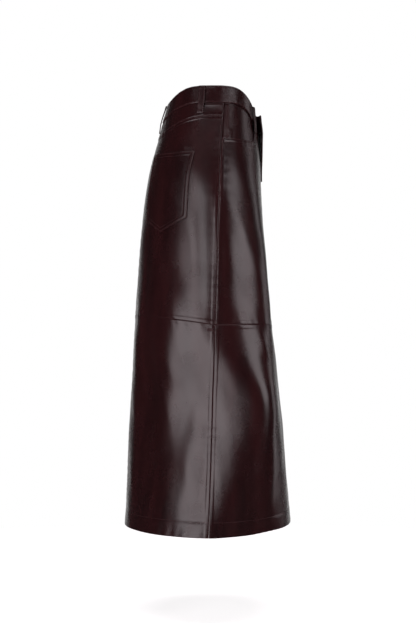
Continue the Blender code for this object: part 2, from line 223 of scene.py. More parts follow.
def smooth(stations, z):
    """Value at each height z of the smooth curve through (height, value) stations."""
    heights, values = np.array(sorted(stations)).T
    slopes = np.gradient(values, heights)
    z = np.clip(z, heights[0], heights[-1])
    i = np.clip(np.searchsorted(heights, z) - 1, 0, len(heights) - 2)
    step = heights[i + 1] - heights[i]
    t = (z - heights[i]) / step
    return (1 - t) ** 2 * (1 + 2 * t) * values[i] + t ** 2 * (3 - 2 * t) * values[i + 1] \
        + slopes[i] * step * t * (1 - t) ** 2 - slopes[i + 1] * step * (1 - t) * t ** 2


def section(z, turn):
    """Plan of the right half. The turn runs from 0 at the centre front to pi at the centre back."""
    centre = smooth(WIDEST_LINE, z)
    is_front = turn < math.pi / 2
    depth = np.where(is_front, centre - smooth(FRONT_LINE, z), smooth(BACK_LINE, z) - centre) - LEATHER
    flatness = np.where(is_front, smooth(FRONT_FLATNESS, z), smooth(BACK_FLATNESS, z))
    ridge = np.where(is_front, smooth(FRONT_RIDGE, z), smooth(BACK_RIDGE, z))
    x = -(smooth(HALF_WIDTH, z) - LEATHER) * np.abs(np.sin(turn)) ** (2 / flatness)
    y = centre - depth * np.sign(np.cos(turn)) * np.abs(np.cos(turn)) ** (2 / ridge)
    return x, y


# These even steps are too coarse at the flat centre front, as they are in the part. Below the fly the two
# front panels end up as much as 12 mm apart there instead of SEAM_GAP. Known fault, not mended.
TURNS = np.linspace(0.0, math.pi, 721)
LEVELS = np.linspace(HEM_Z - 0.012, RIM_Z + 0.012, 220)
SHARES = np.linspace(0.0, 1.0, 501)


def tables():
    """For each level: the half girth, the side seam's share, and the turn at each of SHARES."""
    girths, seams, turns = [], [], []
    for z in LEVELS:
        x, y = section(np.full_like(TURNS, z), TURNS)
        length = np.concatenate([[0.0], np.cumsum(np.hypot(np.diff(x), np.diff(y)))])
        girths.append(length[-1])
        seams.append(np.interp(smooth(SIDE_SEAM_LINE, z), y, length) / length[-1])
        turns.append(np.interp(SHARES * length[-1], length, TURNS))
    return np.array(girths), np.array(seams), np.array(turns)


GIRTH_TABLE, SEAM_TABLE, TURN_TABLE = tables()


def half_girth(z):
    return np.interp(z, LEVELS, GIRTH_TABLE)


def seam_share(z):
    return np.interp(z, LEVELS, SEAM_TABLE)


def turn_at(share, z):
    """The turn at a share and height, between the four nearest entries of the table."""
    row = np.clip((z - LEVELS[0]) / (LEVELS[1] - LEVELS[0]), 0, len(LEVELS) - 1.001)
    column = np.clip(share / (SHARES[1] - SHARES[0]), 0, len(SHARES) - 1.001)
    i, j = row.astype(int), column.astype(int)
    a, b = row - i, column - j
    return (1 - a) * ((1 - b) * TURN_TABLE[i, j] + b * TURN_TABLE[i, j + 1]) \
        + a * ((1 - b) * TURN_TABLE[i + 1, j] + b * TURN_TABLE[i + 1, j + 1])


def folded(share):
    """A share anywhere round the skirt as a share of the right half, and the sign of its x."""
    return np.abs((share + 1) % 2 - 1), np.where(share % 2 < 1, 1.0, -1.0)


def fold(share, z):
    """Height of the large folds above the plain surface, for shares of the right half."""
    total = np.zeros_like(z)
    girth = half_girth(z)
    for share_top, z_top, share_bottom, z_bottom, half_width, depth in FOLDS:
        along = np.clip((z - z_top) / (z_bottom - z_top), 0, 1)
        middle = share_top + (share_bottom - share_top) * along
        off = (share - middle) * girth / half_width
        total -= depth * np.sin(math.pi * along) * np.exp(-off * off)
    return total


def skeleton(share, z):
    """Point and normal of the plain surface at shares anywhere round the skirt."""
    share, z = np.broadcast_arrays(np.asarray(share, float), np.asarray(z, float))
    half, sign = folded(share)
    turn = turn_at(half, z)
    low, high = np.maximum(turn - NUDGE, 0.0), np.minimum(turn + NUDGE, math.pi)
    x, y = section(z, turn)
    x_low, y_low = section(z, low)
    x_high, y_high = section(z, high)
    x_up, y_up = section(z + NUDGE, turn)
    x_down, y_down = section(z - NUDGE, turn)
    zero = np.zeros_like(z)
    round_it = np.stack([x_high - x_low, y_high - y_low, zero], -1)
    up_it = np.stack([x_up - x_down, y_up - y_down, zero + 2 * NUDGE], -1)
    normal = np.cross(up_it, round_it)
    normal /= np.linalg.norm(normal, axis=-1, keepdims=True)
    point = np.stack([x, y, z], -1)
    flip = np.stack([sign, np.ones_like(sign), np.ones_like(sign)], -1)
    return point * flip, normal * flip


def crease(share, z):
    """Height of the finer creases, for signed shares; each side of the skirt has its own."""
    half, sign = folded(share)
    girth = half_girth(z)
    total = np.zeros_like(z)
    for side, creases in ((1, RIGHT_CREASES), (-1, LEFT_CREASES)):
        for share_top, z_top, share_bottom, z_bottom, bow, half_width, depth in creases:
            along = np.clip((z - z_top) / (z_bottom - z_top), 0, 1)
            swell = np.sin(math.pi * along)
            middle = share_top + (share_bottom - share_top) * along + bow * swell
            off = (half - middle) * girth / half_width
            total -= np.where(sign == side, depth * swell ** 0.7 * np.exp(-off * off), 0.0)
    return total


def uneven(point):
    """Slow unevenness, from the place in space, so that it runs on across the seams."""
    total = np.zeros(point.shape[:-1])
    for direction, wavelength, phase, height in WAVES:
        total += height * np.sin(point @ np.array(direction) * 2 * math.pi / wavelength + phase)
    return total


def surface(share, z, out=0.0):
    """Points moved out from the folded and creased inner face."""
    arrays = [np.asarray(value, float) for value in (share, z, out)]
    share, z, out = np.broadcast_arrays(*arrays)
    point, normal = skeleton(share, z)
    height = out + fold(folded(share)[0], z) + crease(share, z) + uneven(point)
    return point + normal * height[..., None]


# ---------------------------------------------------------------- the seams' heights

def reach(share, z):
    """Depth of a place, from -1 at the centre front through 0 at the widest point to 1 at the back."""
    y = section(z, turn_at(share, z))[1]
    centre = smooth(WIDEST_LINE, z)
    ahead = y < centre
    line = np.where(ahead, centre - smooth(FRONT_LINE, z), smooth(BACK_LINE, z) - centre)
    return (y - centre) / (line - LEATHER)


def dipped(side_z, front_dip, front_power, back_dip, back_power):
    """Height of a seam by share: side_z at the side, and lower at the centre front and back."""
    deep = reach(SHARES, np.full_like(SHARES, side_z))
    heights = np.where(deep < 0, side_z - front_dip * np.abs(deep) ** front_power,
                       side_z - back_dip * np.abs(deep) ** back_power)
    return lambda share: np.interp(folded(np.asarray(share, float))[0], SHARES, heights)


rim_z = dipped(RIM_Z, FRONT_DIP, 4, BACK_DIP, 4)
waist_seam_z = dipped(WAIST_SEAM_Z, FRONT_DIP, 5.5, BACK_DIP, 4)
yoke_seam_z = dipped(YOKE_SEAM_Z, 0.0, 1, YOKE_DIP, 2.5)
hem_z = dipped(HEM_Z, -HEM_FRONT_RISE, 1.3, -HEM_BACK_RISE, 3)


def knee_seam_z(share):
    share = folded(np.asarray(share, float))[0]
    deep = reach(share, np.full_like(share, KNEE_SEAM_Z))
    deep = np.maximum(deep - KNEE_RISE_START, 0.0) / (1 - KNEE_RISE_START)
    return KNEE_SEAM_Z + KNEE_RISE * deep * (1 + KNEE_RISE_BEND * (1 - deep))


def across(part, u, z):
    """Share at fraction u of a front or back panel's width, from its front edge to its back edge."""
    side = seam_share(z)
    return u * side if part == "front" else side + u * (1 - side)


# ---------------------------------------------------------------- meshes

def spaced(length, coarse, fine=0.0011, zone=0.010):
    """Fractions 0 to 1 along a length, close together near both ends."""
    zone = min(zone, length * 0.3)
    ends = int(math.ceil(zone / fine))
    middle = int(math.ceil((length - 2 * zone) / coarse))
    first = np.linspace(0, zone, ends + 1)
    inner = np.linspace(zone, length - zone, middle + 1)
    return np.concatenate([first[:-1], inner, length - first[-2::-1]]) / length


def add_piece(name, points, faces, finish, node=None):
    mesh = bpy.data.meshes.new(name)
    mesh.from_pydata(np.asarray(points).tolist(), [], np.asarray(faces).tolist())
    mesh.shade_smooth()
    piece = bpy.data.objects.new(name, mesh)
    bpy.context.scene.collection.objects.link(piece)
    mesh.materials.append(finish)
    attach(piece, "root")
    if node:
        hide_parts(node)
    return piece


def shell(name, outer, inner, node):
    """A closed shell between two grids of points, each of shape (rows, columns, 3)."""
    rows, columns = outer.shape[:2]
    count = rows * columns
    points = np.concatenate([outer.reshape(-1, 3), inner.reshape(-1, 3)])
    index = np.arange(count).reshape(rows, columns)
    quads = np.stack([index[:-1, :-1], index[:-1, 1:], index[1:, 1:], index[1:, :-1]], -1).reshape(-1, 4)
    loop = np.concatenate([index[0, :], index[1:, -1], index[-1, -2::-1], index[-2:0:-1, 0]])
    ahead = np.roll(loop, -1)
    rim = np.stack([ahead, loop, loop + count, ahead + count], -1)
    faces = np.concatenate([quads, quads[:, ::-1] + count, rim])
    i, j = rows // 2, columns // 2
    face_normal = np.cross(outer[i, j + 1] - outer[i, j], outer[i + 1, j] - outer[i, j + 1])
    if np.dot(face_normal, outer[i, j] - inner[i, j]) < 0:
        faces = faces[:, ::-1]
    return add_piece(name, points, faces, LEATHER_FINISH, node)


def distance_to(share, z, line_share, line_z):
    """Distance on the leather from each place of a grid to a line of places."""
    nearest = np.full(z.shape, 1.0)
    girth = half_girth(z)
    for one_share, one_z in zip(line_share, line_z):
        nearest = np.minimum(nearest, np.hypot((share - one_share) * girth, z - one_z))
    return nearest


def edge_relief(kind, distance):
    """Height of a panel's outer face near an edge of some kind."""
    roll, height, end, grooves = EDGES[kind]
    total = -roll * np.clip(1 - distance / ROLL_REACH, 0, 1) ** 2
    fall = np.clip((end - distance) / 0.003, 0, 1)
    total = total + height * fall * fall * (3 - 2 * fall)
    for groove in grooves:
        total = total - GROOVE_DEPTH * np.exp(-((distance - groove) / GROOVE_HALF_WIDTH) ** 2)
    return total


def puckers(along, distance, seed):
    """Short ripples across a seam, dying away from it."""
    wander = 0.8 * np.sin(along / 0.045 + seed) + 0.6 * np.sin(along / 0.023 + 2 * seed)
    strength = 0.6 + 0.4 * np.sin(along / 0.037 + 3 * seed)
    ripple = np.sin(2 * math.pi * along / PUCKER_PITCH + wander * 2)
    return PUCKER_HEIGHT * strength * ripple * np.exp(-(distance / PUCKER_REACH) ** 2)


STITCH_RINGS = ((-0.40, 0.7), (0.0, 1.0), (0.40, 0.7))
STITCH_SIDES = 6


def stitch_shape():
    """One thread stitch of unit length and radius: points as (along, aside, up), and faces."""
    points = [(-0.5, 0.0, 0.0)]
    for along, radius in STITCH_RINGS:
        for side in range(STITCH_SIDES):
            angle = 2 * math.pi * side / STITCH_SIDES
            points.append((along, radius * math.cos(angle), radius * math.sin(angle)))
    points.append((0.5, 0.0, 0.0))
    last = len(points) - 1
    faces = []
    for side in range(STITCH_SIDES):
        after = (side + 1) % STITCH_SIDES
        faces.append((0, 1 + after, 1 + side))
        for ring in range(len(STITCH_RINGS) - 1):
            low, high = 1 + ring * STITCH_SIDES, 1 + (ring + 1) * STITCH_SIDES
            faces.append((low + side, low + after, high + after))
            faces.append((low + side, high + after, high + side))
        top = 1 + (len(STITCH_RINGS) - 1) * STITCH_SIDES
        faces.append((top + side, top + after, last))
    return np.array(points), np.array(faces)


def stitched(name, lines, length=STITCH_LENGTH, pitch=STITCH_PITCH, radius=STITCH_RADIUS):
    """One mesh of stitches along lines, each a pair of arrays: points and outward normals."""
    shape, shape_faces = stitch_shape()
    all_points, all_faces, count = [], [], 0
    for points, normals in lines:
        steps = np.linalg.norm(np.diff(points, axis=0), axis=1)
        run = np.concatenate([[0.0], np.cumsum(steps)])
        middles = np.arange(pitch / 2, run[-1] - pitch / 4, pitch)
        here = [np.stack([np.interp(middles + shift, run, points[:, k]) for k in range(3)], -1)
                for shift in (0.0, -length / 2, length / 2)]
        up = np.stack([np.interp(middles, run, normals[:, k]) for k in range(3)], -1)
        forward = here[2] - here[1]
        forward /= np.linalg.norm(forward, axis=1, keepdims=True)
        aside = np.cross(up, forward)
        aside /= np.linalg.norm(aside, axis=1, keepdims=True)
        up = np.cross(forward, aside)
        for middle, ahead, sideways, outward in zip(here[0], forward, aside, up):
            local = shape[:, :1] * length * ahead + shape[:, 1:2] * radius * sideways \
                + shape[:, 2:] * radius * outward
            all_points.append(middle + local)
            all_faces.append(shape_faces + count)
            count += len(shape)
    return add_piece(name, np.concatenate(all_points), np.concatenate(all_faces), THREAD_FINISH)


def stitch_path(share, z, out):
    """A stitch line along shares and heights, at so much out from the inner face."""
    share, z = np.broadcast_arrays(np.asarray(share, float), np.asarray(z, float))
    points = surface(share, z, out)
    return points, skeleton(share, z)[1]


# ---------------------------------------------------------------- materials

def node(tree, kind, **settings):
    made = tree.nodes.new(kind)
    for key, value in settings.items():
        if key in made.inputs:
            made.inputs[key].default_value = value
        else:
            setattr(made, key, value)
    return made


def leather_material():
    """Glossy dark burgundy leather: fine grain, soft mottling, a lighter rub along raised edges."""
    made = bpy.data.materials.new("burgundy_leather")
    made.use_nodes = True
    tree = made.node_tree
    link = tree.links.new
    shader = tree.nodes["Principled BSDF"]
    shader.inputs["IOR"].default_value = 1.5
    place = node(tree, "ShaderNodeTexCoord")

    drawn_out = node(tree, "ShaderNodeMapping")
    drawn_out.inputs["Scale"].default_value = (1, 1, 0.15)
    link(place.outputs["Object"], drawn_out.inputs["Vector"])
    mottle = node(tree, "ShaderNodeTexNoise", Scale=26.0, Detail=5.0, Roughness=0.6)
    link(drawn_out.outputs["Vector"], mottle.inputs["Vector"])
    tone = node(tree, "ShaderNodeValToRGB")
    tone.color_ramp.elements[0].position = 0.30
    tone.color_ramp.elements[0].color = (0.0100, 0.0022, 0.0027, 1)
    tone.color_ramp.elements[1].position = 0.72
    tone.color_ramp.elements[1].color = (0.0260, 0.0054, 0.0063, 1)
    link(mottle.outputs["Fac"], tone.inputs["Fac"])

    geometry = node(tree, "ShaderNodeNewGeometry")
    raised = node(tree, "ShaderNodeValToRGB")
    raised.color_ramp.elements[0].position = 0.53
    raised.color_ramp.elements[0].color = (0, 0, 0, 1)
    raised.color_ramp.elements[1].position = 0.60
    raised.color_ramp.elements[1].color = (0.60, 0.60, 0.60, 1)
    link(geometry.outputs["Pointiness"], raised.inputs["Fac"])
    rubbed = node(tree, "ShaderNodeMix", data_type="RGBA")
    rubbed.inputs[7].default_value = (0.060, 0.022, 0.024, 1)
    link(raised.outputs["Color"], rubbed.inputs[0])
    link(tone.outputs["Color"], rubbed.inputs[6])
    link(rubbed.outputs[2], shader.inputs["Base Color"])

    patches = node(tree, "ShaderNodeTexNoise", Scale=32.0, Detail=3.0, Roughness=0.5)
    link(place.outputs["Object"], patches.inputs["Vector"])
    gloss = node(tree, "ShaderNodeMapRange")
    gloss.inputs["To Min"].default_value = ROUGHNESS[0]
    gloss.inputs["To Max"].default_value = ROUGHNESS[1]
    link(patches.outputs["Fac"], gloss.inputs["Value"])
    link(gloss.outputs["Result"], shader.inputs["Roughness"])

    cells = node(tree, "ShaderNodeTexVoronoi", feature="DISTANCE_TO_EDGE", Scale=900.0, Randomness=1.0)
    warp = node(tree, "ShaderNodeTexNoise", Scale=180.0, Detail=2.0)
    link(place.outputs["Object"], warp.inputs["Vector"])
    bend = node(tree, "ShaderNodeMix", data_type="VECTOR")
    bend.inputs[0].default_value = 0.002
    link(place.outputs["Object"], bend.inputs[4])
    link(warp.outputs["Color"], bend.inputs[5])
    link(bend.outputs[1], cells.inputs["Vector"])
    grain_line = node(tree, "ShaderNodeMapRange")
    grain_line.inputs["From Max"].default_value = 0.16
    link(cells.outputs["Distance"], grain_line.inputs["Value"])
    grain = node(tree, "ShaderNodeBump")
    grain.inputs["Strength"].default_value = 0.22
    grain.inputs["Distance"].default_value = 0.00012
    link(grain_line.outputs["Result"], grain.inputs["Height"])

    crumple = node(tree, "ShaderNodeTexNoise", Scale=70.0, Detail=4.0, Roughness=0.55)
    link(place.outputs["Object"], crumple.inputs["Vector"])
    soft = node(tree, "ShaderNodeBump")
    soft.inputs["Strength"].default_value = 0.30
    soft.inputs["Distance"].default_value = 0.0006
    link(crumple.outputs["Fac"], soft.inputs["Height"])
    link(grain.outputs["Normal"], soft.inputs["Normal"])
    link(soft.outputs["Normal"], shader.inputs["Normal"])
    return made


def thread_material():
    """Matt twisted thread, a shade lighter than the leather."""
    made = bpy.data.materials.new("burgundy_thread")
    made.use_nodes = True
    tree = made.node_tree
    shader = tree.nodes["Principled BSDF"]
    shader.inputs["Roughness"].default_value = 0.55
    place = node(tree, "ShaderNodeTexCoord")
    twist = node(tree, "ShaderNodeTexWave", Scale=900.0, Distortion=1.5)
    tree.links.new(place.outputs["Object"], twist.inputs["Vector"])
    tone = node(tree, "ShaderNodeValToRGB")
    tone.color_ramp.elements[0].color = (0.040, 0.012, 0.014, 1)
    tone.color_ramp.elements[1].color = (0.085, 0.032, 0.035, 1)
    tree.links.new(twist.outputs["Fac"], tone.inputs["Fac"])
    tree.links.new(tone.outputs["Color"], shader.inputs["Base Color"])
    return made


def metal_material():
    """Dark plated metal with a brushed, slightly worn face."""
    made = bpy.data.materials.new("dark_metal")
    made.use_nodes = True
    tree = made.node_tree
    shader = tree.nodes["Principled BSDF"]
    shader.inputs["Metallic"].default_value = 1.0
    place = node(tree, "ShaderNodeTexCoord")
    brushed = node(tree, "ShaderNodeTexNoise", Scale=600.0, Detail=3.0)
    tree.links.new(place.outputs["Object"], brushed.inputs["Vector"])
    tone = node(tree, "ShaderNodeValToRGB")
    tone.color_ramp.elements[0].color = (0.060, 0.052, 0.050, 1)
    tone.color_ramp.elements[1].color = (0.150, 0.130, 0.125, 1)
    tree.links.new(brushed.outputs["Fac"], tone.inputs["Fac"])
    tree.links.new(tone.outputs["Color"], shader.inputs["Base Color"])
    worn = node(tree, "ShaderNodeMapRange")
    worn.inputs["To Min"].default_value = 0.25
    worn.inputs["To Max"].default_value = 0.45
    tree.links.new(brushed.outputs["Fac"], worn.inputs["Value"])
    tree.links.new(worn.outputs["Result"], shader.inputs["Roughness"])
    return made


ROUGHNESS = (0.20, 0.32)
LEATHER_FINISH = leather_material()
THREAD_FINISH = thread_material()
METAL_FINISH = metal_material()


# ---------------------------------------------------------------- panels

def edge(part, height, side_z):
    return lambda k: (k, height(across(part, k, side_z)))


def mouth(k, grow=0.0):
    """The pocket mouth, from the side seam at k = 0 up to the waist seam at k = 1."""
    turn = k * math.pi / 2
    wide = MOUTH_REACH * (1 + grow / MOUTH_DEPTH) * np.sin(turn) ** (2 / MOUTH_SQUARENESS)
    deep = (MOUTH_DEPTH + grow) * np.abs(np.cos(turn)) ** (2 / MOUTH_SQUARENESS)
    u = 1 - wide
    return u, waist_seam_z(across("front", u, WAIST_SEAM_Z)) - deep


def front_top(k):
    """Top edge of the front: along the waist seam for a third of the columns, then round the mouth."""
    waist_part = 1 / 3
    along = (1 - MOUTH_REACH) * k / waist_part
    u_mouth, z_mouth = mouth(np.clip((1 - k) / (1 - waist_part), 0, 1))
    on_waist = k < waist_part
    return (np.where(on_waist, along, u_mouth),
            np.where(on_waist, waist_seam_z(across("front", along, WAIST_SEAM_Z)), z_mouth))


def panel(name, sign, part, top, bottom, us, vs, kinds):
    """A fine shell for one panel. The kinds are of its top, bottom, centre and side edges."""
    (u_top, z_top), (u_bottom, z_bottom) = top(us), bottom(us)
    v = vs[:, None]
    z = z_top - SEAM_GAP / 2 + (z_bottom - z_top + SEAM_GAP) * v
    u = u_top + (u_bottom - u_top) * v
    inset = SEAM_GAP / 2 / half_girth(z)
    share = np.clip(across(part, u, z), inset, 1 - inset)
    side = seam_share(z)
    share = np.minimum(share, side - inset) if part == "front" else np.maximum(share, side + inset)
    girth = half_girth(z)
    k = np.linspace(0, 1, 240)
    ut, zt = top(k)
    from_top = distance_to(share, z, across(part, ut, zt), zt)
    from_bottom = z - z_bottom
    from_side = np.abs(share - side) * girth
    from_centre = (share if part == "front" else 1 - share) * girth
    kind_top, kind_bottom, kind_centre, kind_side = kinds
    relief = edge_relief(kind_top, from_top) + edge_relief(kind_bottom, from_bottom) \
        + edge_relief(kind_centre, from_centre) + edge_relief(kind_side, from_side)
    relief += puckers(z, from_side, 1.0 + sign) + puckers(z, from_centre, 2.0 + sign)
    relief += puckers(share * girth, from_top, 3.0 + sign) + puckers(share * girth, from_bottom, 4.0 + sign)
    rolled = np.maximum(relief, -LEATHER * 0.7)
    piece = shell(name + "_leather", surface(sign * share, z, LEATHER + rolled),
                  surface(sign * share, z, np.minimum(relief, 0.0) * 0.1), name)
    return piece


def make_panels(name, sign):
    waist_back = edge("back", waist_seam_z, WAIST_SEAM_Z)
    yoke_back = edge("back", yoke_seam_z, YOKE_SEAM_Z)
    knee_back = edge("back", knee_seam_z, KNEE_SEAM_Z)
    knee_front = edge("front", knee_seam_z, KNEE_SEAM_Z)
    hem_back, hem_front = edge("back", hem_z, HEM_Z), edge("front", hem_z, HEM_Z)
    panel(f"back_yoke_{name}", sign, "back", waist_back, yoke_back, spaced(0.20, 0.003), spaced(0.032, 0.002),
          ("under", "under", "pressed", "pressed"))
    panel(f"back_upper_{name}", sign, "back", yoke_back, knee_back,
          spaced(0.28, 0.0032), spaced(0.39, 0.0032),
          ("topstitched", "pressed", "pressed", "pressed"))
    panel(f"back_lower_{name}", sign, "back", knee_back, hem_back, spaced(0.31, 0.0033), spaced(0.41, 0.0033),
          ("pressed", "hem", "pressed", "pressed"))
    panel(f"front_upper_{name}", sign, "front", front_top, knee_front,
          spaced(0.25, 0.0026), spaced(0.37, 0.0032),
          ("turned", "pressed", "pressed", "pressed"))
    panel(f"front_lower_{name}", sign, "front", knee_front, hem_front,
          spaced(0.31, 0.0033), spaced(0.40, 0.0033),
          ("pressed", "hem", "pressed", "pressed"))


def panel_stitches(name, sign):
    """Topstitching of the yoke seam, the pocket mouth, the side seam and the hem."""
    k = np.linspace(0.01, 0.99, 200)
    lines = []
    for off in EDGES["topstitched"][3]:
        share = across("back", k, YOKE_SEAM_Z)
        out = LEATHER + EDGES["topstitched"][1]
        lines.append(stitch_path(sign * share, yoke_seam_z(share) - off, out))
    for off in EDGES["turned"][3]:
        u, z = mouth(k, off)
        lines.append(stitch_path(sign * across("front", u, z), z, LEATHER + EDGES["turned"][1]))
    for part in ("front", "back"):
        share = across(part, k, HEM_Z)
        lines.append(stitch_path(sign * share, hem_z(share) + EDGES["hem"][3][0], LEATHER + 0.0002))
    z = np.linspace(YOKE_SEAM_Z - 0.02, KNEE_SEAM_Z + 0.004, 200)
    side = seam_share(z) + SIDE_STITCH_OFF / half_girth(z)
    lines.append(stitch_path(sign * side, z, LEATHER + EDGES["pressed"][1]))
    stitched(f"topstitching_{name}", lines)


SIDE_STITCH_OFF = 0.0042
TACK_WIDTH = 0.011
TACK_HEIGHT = 0.0075
TACK_ROWS = 9


def bartack(name, sign):
    """A dense patch of thread just under the knee seam, behind the side seam."""
    middle_z = KNEE_SEAM_Z - 0.010
    lines = []
    for i in range(TACK_ROWS):
        back = 0.0035 + TACK_WIDTH * i / (TACK_ROWS - 1)
        z = middle_z + np.array([TACK_HEIGHT, -TACK_HEIGHT]) / 2
        share = seam_share(z) + back / half_girth(z)
        lines.append(stitch_path(sign * share, z, LEATHER + EDGES["pressed"][1] + 0.0004))
    stitched(f"bartack_{name}", lines, length=TACK_HEIGHT, pitch=TACK_HEIGHT, radius=0.00045)


# ---------------------------------------------------------------- waistband, pockets, fly and loops

def lap_out(distance):
    """How far the lapping end of the waistband stands out, by its distance from the centre front."""
    clear = BAND_LEATHER + SEAM_GAP * 2
    t = np.clip((LAP_START - distance) / (LAP_START - UNDERLAP), 0, 1)
    rise = clear * t * t * (3 - 2 * t)
    lapped = clear + (LAP_LIFT - clear) * (UNDERLAP - distance) / (UNDERLAP + LAP)
    return np.where(distance > UNDERLAP, rise, lapped)


def waistband():
    girth = float(half_girth(0.0))
    start, end = -UNDERLAP / girth, 2 + LAP / girth
    length = (end - start) * girth
    share = (start + (end - start) * spaced(length, 0.003))[None, :]
    v = spaced(0.031, 0.0016, zone=0.005)[:, None]
    top, bottom = rim_z(share), waist_seam_z(share) + SEAM_GAP / 2
    z = top + (bottom - top) * v
    from_ends = np.minimum(share - start, end - share) * girth
    relief = edge_relief("band", top - z) + edge_relief("band", z - bottom) + edge_relief("band", from_ends)
    relief += puckers(share * girth, top - z, 5.0) + puckers(share * girth, z - bottom, 6.0)
    lift = lap_out((2 - share) * girth) + 0 * z
    piece = shell("waistband_leather", surface(share, z, lift + BAND_LEATHER + relief),
                  surface(share, z, lift), "waistband")
    lines = []
    along = np.linspace(start + 0.006, end - 0.006, 700)
    off = EDGES["band"][3][0]
    for height in (rim_z(along) - off, waist_seam_z(along) + off):
        lines.append(stitch_path(along, height, lap_out((2 - along) * girth) + BAND_LEATHER - 0.0001))
    stitched("waistband_stitches", lines)


def pocket_facing(name, sign):
    """The piece that shows in the pocket mouth, under the front's edge."""
    us = spaced(0.110, 0.0026, zone=0.006)
    u, z_bottom = mouth(np.where(us < 1, 0.04 + 0.90 * (1 - us), 0.0), FACING_UNDERLAP)
    z_top = waist_seam_z(across("front", u, WAIST_SEAM_Z))
    v = spaced(0.080, 0.0024, zone=0.006)[:, None]
    z = z_top - SEAM_GAP / 2 + (z_bottom - z_top + SEAM_GAP) * v
    inset = SEAM_GAP / 2 / half_girth(z)
    share = np.clip(across("front", u + 0 * v, z), inset, seam_share(z) - inset)
    from_side = (seam_share(z) - share) * half_girth(z)
    line = np.exp(-((from_side - FACING_LINE) / 0.0012) ** 2)
    relief = edge_relief("pressed", from_side) - 0.0005 * line
    piece = shell(f"front_pocket_facing_{name}_leather", surface(sign * share, z, -FACING_SINK + relief),
                  surface(sign * share, z, -FACING_SINK - LEATHER), f"front_pocket_facing_{name}")
    z = np.linspace(WAIST_SEAM_Z - 0.004, WAIST_SEAM_Z - MOUTH_DEPTH + 0.004, 60)
    path = stitch_path(sign * (seam_share(z) - FACING_LINE / half_girth(z)), z, -FACING_SINK - 0.0002)
    stitched(f"facing_stitches_{name}", [path])


FACING_LINE = 0.0075


def inset_corners(corners, inset):
    """Corners of a convex outline moved in by so much; the outline runs clockwise seen from outside."""
    corners = np.array(corners)
    before, after = np.roll(corners, 1, 0), np.roll(corners, -1, 0)
    moved = []
    for last, here, ahead in zip(before, corners, after):
        sides = []
        for a, b in ((last, here), (here, ahead)):
            run = (b - a) / np.linalg.norm(b - a)
            inward = np.array([-run[1], run[0]])
            sides.append((inward, np.dot(inward, a) + inset))
        moved.append(np.linalg.solve(np.array([sides[0][0], sides[1][0]]), [sides[0][1], sides[1][1]]))
    return np.array(moved)


def pocket_outline(inset=0.0, step=0.0015):
    """The back pocket's outline as (distance from the centre back, height), all round."""
    corners = [(POCKET_CENTRE_TOP + POCKET_HALF_TOP, POCKET_TOP_Z),
               (POCKET_CENTRE_TOP - POCKET_HALF_TOP, POCKET_TOP_Z),
               (POCKET_CENTRE_BOTTOM - POCKET_HALF_BOTTOM, POCKET_CORNER_Z),
               (POCKET_CENTRE_BOTTOM, POCKET_TIP_Z),
               (POCKET_CENTRE_BOTTOM + POCKET_HALF_BOTTOM, POCKET_CORNER_Z)]
    corners = inset_corners(corners, inset)
    runs = []
    for a, b in zip(corners, np.roll(corners, -1, 0)):
        count = max(int(np.linalg.norm(b - a) / step), 2)
        runs.append(a + (b - a) * np.linspace(0, 1, count)[:, None])
    return runs


def back_pocket(name, sign):
    """A five-sided patch with two rows of stitches all round."""
    to_side = 2 * spaced(0.134, 0.0026)[None, :] - 1
    v = spaced(0.145, 0.0026)[:, None]
    bottom = POCKET_TIP_Z + (POCKET_CORNER_Z - POCKET_TIP_Z) * np.abs(to_side)
    z = POCKET_TOP_Z + (bottom - POCKET_TOP_Z) * v
    half = POCKET_HALF_TOP + (POCKET_HALF_BOTTOM - POCKET_HALF_TOP) * v
    centre = POCKET_CENTRE_TOP + (POCKET_CENTRE_BOTTOM - POCKET_CENTRE_TOP) * v
    share = 1 - (centre + half * to_side) / half_girth(z)
    outline = np.concatenate(pocket_outline())
    nearest = distance_to(share, z, 1 - outline[:, 0] / half_girth(outline[:, 1]), outline[:, 1])
    relief = edge_relief("patch", nearest)
    seat = LEATHER + LAY_GAP
    piece = shell(f"back_pocket_{name}_leather", surface(sign * share, z, seat + POCKET_LEATHER + relief),
                  surface(sign * share, z, seat), f"back_pocket_{name}")
    lines = []
    for off in EDGES["patch"][3]:
        for run in pocket_outline(off):
            out = seat + POCKET_LEATHER + EDGES["patch"][1] - 0.0001
            lines.append(stitch_path(sign * (1 - run[:, 0] / half_girth(run[:, 1])), run[:, 1], out))
    stitched(f"pocket_stitches_{name}", lines)


